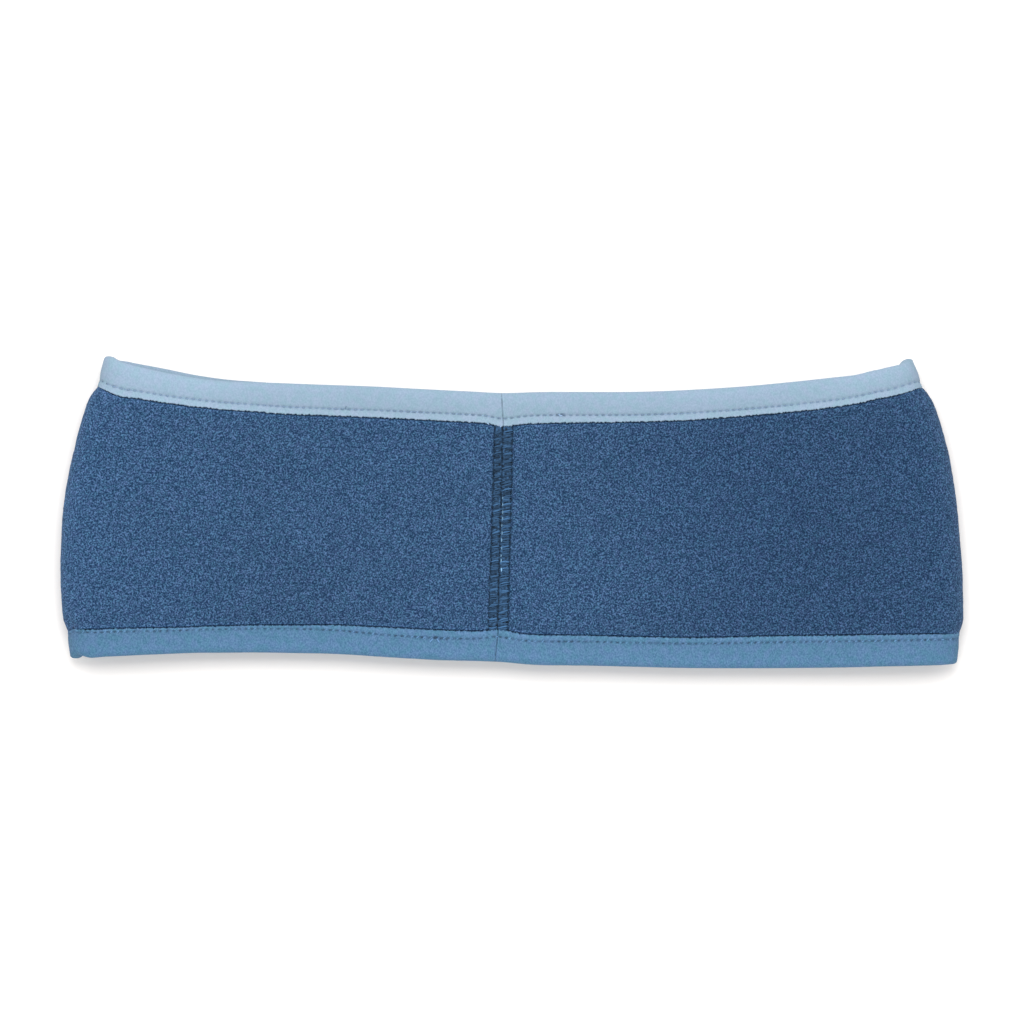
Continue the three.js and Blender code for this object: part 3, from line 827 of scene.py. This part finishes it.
def tubes(paths, radii, sides=6):
    """Closed tubes along many paths at once. paths is tubes by points by 3, and radii is tubes
    by points; each end closes on one point."""
    count, steps = paths.shape[:2]
    along = unit(np.gradient(paths, axis=1))
    helper = np.where(np.abs(along[..., 2:]) > 0.8, [1.0, 0, 0], [0, 0, 1.0])
    across = unit(np.cross(along, helper))
    up = np.cross(across, along)
    angles = 2 * np.pi * np.arange(sides) / sides
    spread = across[:, :, None] * np.cos(angles)[:, None] + up[:, :, None] * np.sin(angles)[:, None]
    rings = paths[:, :, None] + spread * radii[:, :, None, None]
    first_tip = paths[:, 0] - along[:, 0] * radii[:, :1]
    last_tip = paths[:, -1] + along[:, -1] * radii[:, -1:]
    tips = np.stack([first_tip, last_tip], axis=1)
    points = np.concatenate([rings.reshape(count, -1, 3), tips], axis=1)
    ring = np.arange(steps - 1)[:, None] * sides
    j = np.arange(sides)
    k = (j + 1) % sides
    quads = np.stack([ring + j, ring + k, ring + sides + k, ring + sides + j], axis=-1).reshape(-1, 4)
    start, stop = steps * sides, steps * sides + 1
    last = (steps - 1) * sides
    first_fan = np.stack([np.full(sides, start), k, j], axis=-1)
    last_fan = np.stack([np.full(sides, stop), last + j, last + k], axis=-1)
    size = points.shape[1]
    shifts = np.arange(count)[:, None, None] * size
    faces = (quads + shifts).reshape(-1, 4).tolist()
    faces += (first_fan + shifts).reshape(-1, 3).tolist()
    faces += (last_fan + shifts).reshape(-1, 3).tolist()
    return points, faces


def joined(parts):
    """Several meshes' points, faces and shades as one mesh."""
    points, faces, shades = [], [], []
    total = 0
    for more_points, more_faces, more_shades in parts:
        points.append(more_points.reshape(-1, 3))
        faces.extend([[v + total for v in face] for face in more_faces])
        shades.append(np.ravel(more_shades))
        total += len(points[-1])
    return np.concatenate(points), faces, {"shade": np.concatenate(shades)}


def tube_part(paths, radii, tone):
    """Tubes as a part for `joined`, each in its own tone."""
    points, faces = tubes(paths, radii)
    return points, faces, np.repeat(tone, points.shape[1])


def front_turn(x, rise):
    """Where `turn` is on the front layer at a place across the band."""
    turns = np.linspace(4, 6, 1601)
    return np.mod(np.interp(x, cloth_point(np.mod(turns, 5), rise)[:, 0], turns), 5)


def loose_strokes(is_top):
    """Thread ends and back-tacks on a binding's outer face."""
    rows = np.array(LOOSE_STROKES[is_top])
    share = np.linspace(0, 1, 6)
    turns = front_turn(lerp(rows[:, :1], rows[:, 2:3], share), edge_rise(BINDING_WIDTH - 2, is_top))
    past = lerp(rows[:, 1:2], rows[:, 3:4], share)
    distance = lip_shown(turns, is_top) - stitch_line(turns, is_top) + past
    height = BINDING_HALF + 0.12 - 0.1 * (2 * share - 1) ** 2
    paths = offset_point(turns, edge_rise(distance, is_top), height + 0 * turns)
    return tube_part(paths, rows[:, 4:5] * np.ones_like(turns), rows[:, 5])


def topstitching(name, is_top, side, material):
    """The stitches on one face of a binding, as one mesh."""
    fine_turns, fine_lengths = loop_turns(STITCH_RISES[is_top], {"front": 0.2, "back": 0.2})
    total = fine_lengths[-1]
    count = round(total / STITCH_PITCH)
    pitch = total / count
    local = np.random.default_rng(31 + 2 * is_top + (side > 0))
    centres = (np.arange(count) + 0.5) * pitch + local.normal(0, 0.05, count)
    span = np.linspace(-0.5, 0.5, 6)
    rising = -1 if is_top else 1
    parts = []
    for offset, share, slants, radius, tones in STITCH_PARTS[is_top]:
        lengths = centres[:, None] + pitch * (offset + span * share * local.uniform(0.9, 1.1, (count, 1)))
        turns = np.interp(np.mod(lengths, total), fine_lengths, fine_turns)
        slant = local.normal(0.0, 0.05, (count, 1)) + rising * span * local.normal(*slants, (count, 1))
        distance = lip_shown(turns, is_top) - stitch_line(turns, is_top) + slant
        lift = BINDING_HALF - STITCH_DENT + 0.14 - 0.22 * (2 * span) ** 4
        paths = offset_point(turns, edge_rise(distance, is_top), side * (lift + 0 * turns))
        radii = radius * local.uniform(0.9, 1.1, (count, 1)) * np.array([0.55, 0.95, 1, 1, 0.95, 0.55])
        tone = local.uniform(*tones, count)
        if is_top:
            strength = read(STITCH_STRENGTHS, "top", along_at(turns[:, 2]))
            tone = lerp(THREAD_TO_TAPE, tone, strength)
        parts.append(tube_part(paths, radii, tone))
    if side > 0:
        parts.append(loose_strokes(is_top))
    points, faces, shades = joined(parts)
    return make_piece(name, points, faces, material, shades)


# Flatlock seam

RUNG_PITCH = 2
GROOVE = 0.2  # the place across of the ladder's middle groove
LADDER_FLARE = 0.35  # how much further left it reaches at its lower end
# The strands of a rung: radius, distance below its top, and tone
STRANDS = ((0.26, 0.0, 1.15), (0.2, -0.45, 0.85), (0.17, -1.0, 0.65), (0.15, -1.4, 0.5))
LIGHT_THREAD_SHOWS = (16, 38)  # above the lower binding's lip


def seam_run():
    """The seam from just under the lower lip to just under the upper one: distances along it
    and the cloth's rise at each."""
    low = (lip_shown(0.0, False) - 0.4) / PATTERN_HEIGHT
    high = 1 - (lip_shown(0.0, True) - 0.4) / PATTERN_HEIGHT
    rises = np.linspace(float(low), float(high), 600)
    steps = np.linalg.norm(np.diff(cloth_point(0.0, rises), axis=0), axis=1)
    return np.concatenate([[0], np.cumsum(steps)]), rises


SEAM_RUN, SEAM_RISES = seam_run()
SEAM_LENGTH = SEAM_RUN[-1]
RUNG_COUNT = round(SEAM_LENGTH / RUNG_PITCH)


def seam_point(across, run, height):
    """A point of the seam: `run` is its distance above the seam's lower end."""
    return offset_point(near_seam(across), np.interp(run, SEAM_RUN, SEAM_RISES), height)


def ladder_left(run):
    """The seam's left edge, which spreads towards its lower end."""
    return LADDER_LEFT - LADDER_FLARE * smoothstep(run, 22, 10)


def ladder_bed(side):
    """The thread that fills one face of the seam, with its middle groove and its rungs' dips."""
    run = np.linspace(0, SEAM_LENGTH, int(SEAM_LENGTH / 0.2))[:, None]
    left = ladder_left(run)
    across = lerp(left, LADDER_RIGHT, np.linspace(0, 1, 37))
    rung = np.cos(2 * np.pi * run / RUNG_PITCH)
    edge = np.minimum(LADDER_RIGHT - across, across - left)
    rough = 0.05 * waves(np.stack(np.broadcast_arrays(across, run, 0.0), -1), 0.5, 51 + side)
    height = 1.3 + 0.06 * rung - 0.3 * bell(across - GROOVE, 0.2) - 0.3 * bell(edge, 0.3) + rough
    points = seam_point(across, run, side * height)
    under = seam_point(lerp(left, LADDER_RIGHT, np.array([0, 1])), run, side * 0.9 + 0 * run)
    rings = np.concatenate([points, under[:, ::-1]], axis=1)
    # painted shade: darker in the middle groove, along the edges and in the rungs' dips; rough adds the
    # thread's own mottling
    tone = 0.49 + 0.06 * rung - 0.38 * bell(across - GROOVE, 0.25) - 0.2 * bell(edge, 0.3) + 5.5 * rough
    tone = np.maximum(tone, 0.1)
    shade = np.concatenate([tone, 0.3 + 0 * under[..., 0]], axis=1)
    if side < 0:
        return rings[:, ::-1], shade[:, ::-1]
    return rings, shade


def rung_threads(side):
    """The threads that cross each half of the seam, arched and slightly tilted."""
    count = RUNG_COUNT
    local = np.random.default_rng(41 + (side > 0))
    span = np.linspace(0, 1, 9)
    bow = np.sin(np.pi * span)
    for way, strength in ((1, 0.95), (-1, 0.8)):
        inner = GROOVE + 0.25 * way
        for radius, drop, tone in STRANDS:
            run = (np.arange(count) + 0.6)[:, None] * RUNG_PITCH + local.normal(0, 0.12, (count, 1))
            outer = LADDER_RIGHT - 0.05 if way > 0 else ladder_left(run) + 0.1
            tilt = local.normal(0.55, 0.2, (count, 1))
            arch = local.normal(0.1, 0.12, (count, 1)) * bow
            across = lerp(inner, outer, span) + local.normal(0, 0.1, (count, 1))
            height = 1.3 + 0.2 * bow**0.7 - 0.15 * (1 - tone)
            climb = tilt * (span - 0.5) * way
            paths = seam_point(across, run + climb + arch + drop, side * height)
            radii = radius * local.uniform(0.8, 1.2, (count, 1)) * (0.55 + 0.45 * bow)
            # painted shade: the rungs darker towards the seam's upper end, where the cloth gathers
            top_end_shade = lerp(1, 0.65, smoothstep(run[:, 0], 0.5 * SEAM_LENGTH, 0.85 * SEAM_LENGTH))
            yield paths, radii, strength * tone * top_end_shade * local.uniform(0.55, 1.2, count)


def needle_hole_shade(side):
    """Dark tubes along both edges: painted shade of the holes where the seam's threads go down into the
    fleece.
    """
    count = RUNG_COUNT
    local = np.random.default_rng(45 + (side > 0))
    span = np.linspace(-0.5, 0.5, 5)
    for is_right, lean in ((True, 0.3), (False, 0.15)):
        run = (np.arange(count) + 0.25)[:, None] * RUNG_PITCH + local.normal(0, 0.12, (count, 1))
        edge = LADDER_RIGHT + 0.05 if is_right else ladder_left(run) - 0.05
        across = edge + lean * span + local.normal(0, 0.08, (count, 1))
        length = local.uniform(0.7, 1.1, (count, 1))
        paths = seam_point(across, run + length * span, side * (1.32 + 0 * run))
        yield paths, 0.16 * (1 - 2 * span**2) * np.ones((count, 1)), np.full(count, 0.2)


def flatlock(material):
    """The seam's thread on both faces, and the threads between the strip's two ends."""
    parts = []
    for side in (1, -1):
        rings, shade = ladder_bed(side)
        parts.append((rings, loft(rings, False), shade))
        parts += [tube_part(*threads) for threads in rung_threads(side)]
        parts += [tube_part(*threads) for threads in needle_hole_shade(side)]
    run = np.linspace(0, SEAM_LENGTH, 30)[:, None]
    across = np.array([1, 1, -1, -1]) * SEAM_WEB / 2
    web = seam_point(across, run, np.array([-1, 1, 1, -1]) + 0 * run)
    parts.append((web, loft(web, False), 0.4 + 0 * web[..., 0]))
    points, faces, shades = joined(parts)
    piece = make_piece("flatlock_ladder", points, faces, material, shades)
    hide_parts("flatlock_seam")
    return piece


def light_thread(material):
    """The pale thread that shows here and there in the seam's groove."""
    count = RUNG_COUNT
    local = np.random.default_rng(61)
    run = (np.arange(count) + 0.5) * RUNG_PITCH + local.normal(0, 0.15, count)
    shows = (run > LIGHT_THREAD_SHOWS[0]) & (run < LIGHT_THREAD_SHOWS[1])
    kept = shows | (local.uniform(size=count) < 0.08)
    run, shows = run[kept][:, None], shows[kept]
    span = np.linspace(-0.5, 0.5, 6)
    length = np.where(shows, 0.85, 0.5)[:, None] * local.uniform(0.7, 1.2, run.shape)
    across = GROOVE + 0.5 + 0.06 * np.cos(np.pi * span) + local.normal(0, 0.06, run.shape)
    paths = seam_point(across, run + length * span, 1.4 + 0.12 * (1 - 4 * span**2))
    radii = 0.19 * (1 - 1.6 * span**2) * np.ones(run.shape)
    tone = np.where(shows, 1.0, 0.7) * local.uniform(0.8, 1.15, len(shows))
    tone[np.argmax(shows)] = 1.8
    points, faces, shades = tube_part(paths, radii, tone)
    return make_piece("seam_light_thread", points, faces, material, {"shade": shades})


# The studio

PAPER = (0.945, 0.917, 0.893, 1)
PAPER_SIZE = 8
ROOM_LIGHT = 1.03
SOFTBOX = {"toward": (0, 0.333, 1), "distance": 1.25, "size": (0.7, 0.5), "energy": 8.4}


def floor():
    shader = Shader("studio_paper")
    shader.surface.inputs["Base Color"].default_value = PAPER
    shader.surface.inputs["Roughness"].default_value = 1
    shader.surface.inputs["Specular IOR Level"].default_value = 0
    bpy.ops.mesh.primitive_plane_add(size=PAPER_SIZE, location=(0, 0, 0))
    paper = bpy.context.object
    paper.name = "studio_floor"
    paper.data.materials.append(shader.material)


def area_light(name, toward, distance, size, energy):
    """A softbox at a distance in the direction `toward`, facing the middle of the floor."""
    data = bpy.data.lights.new(name, "AREA")
    data.shape = "RECTANGLE"
    data.size, data.size_y = size
    data.energy = energy
    softbox = bpy.data.objects.new(name, data)
    direction = Vector(toward).normalized()
    softbox.location = direction * distance
    softbox.rotation_mode = "QUATERNION"
    softbox.rotation_quaternion = direction.to_track_quat("Z", "Y")
    bpy.context.scene.collection.objects.link(softbox)


def lights():
    world = bpy.data.worlds.new("studio")
    world.use_nodes = True
    background = world.node_tree.nodes["Background"]
    background.inputs["Color"].default_value = (1, 1, 1, 1)
    background.inputs["Strength"].default_value = ROOM_LIGHT
    bpy.context.scene.world = world
    area_light("softbox", **SOFTBOX)


def camera():
    """Straight above, at the photograph's scale where the band is widest."""
    view_width = 0.28608
    height = 2.0
    widest_at = 0.008
    middle_y = -0.00007
    data = bpy.data.cameras.new("camera")
    data.sensor_width = 36
    data.lens = data.sensor_width * (height - widest_at) / view_width
    data.clip_end = 20
    eye = bpy.data.objects.new("camera", data)
    eye.location = (0, middle_y, height)
    bpy.context.scene.collection.objects.link(eye)
    bpy.context.scene.camera = eye


bpy.context.scene.view_settings.view_transform = "Standard"
camera()
lights()
floor()

fleece = fleece_strip(fleece_material())
top_cloth = tape_material("top_jersey", TOP_TAPE, 7)
bottom_cloth = tape_material("bottom_jersey", BOTTOM_TAPE, 14)
top_tape = tape("top_tape", "top_binding", True, top_cloth)
bottom_tape = tape("bottom_tape", "bottom_binding", False, bottom_cloth)
top_thread = thread_material("top_thread", SHADED_TOP_THREAD)
bottom_thread = thread_material("bottom_thread", BOTTOM_THREAD)
stitches = [
    topstitching("top_stitches_outer", True, 1, top_thread),
    topstitching("top_stitches_inner", True, -1, top_thread),
    topstitching("bottom_stitches_outer", False, 1, bottom_thread),
    topstitching("bottom_stitches_inner", False, -1, bottom_thread),
]
ladder = flatlock(thread_material("seam_thread", SEAM_THREAD))
pale = light_thread(thread_material("pale_thread", PALE_THREAD))
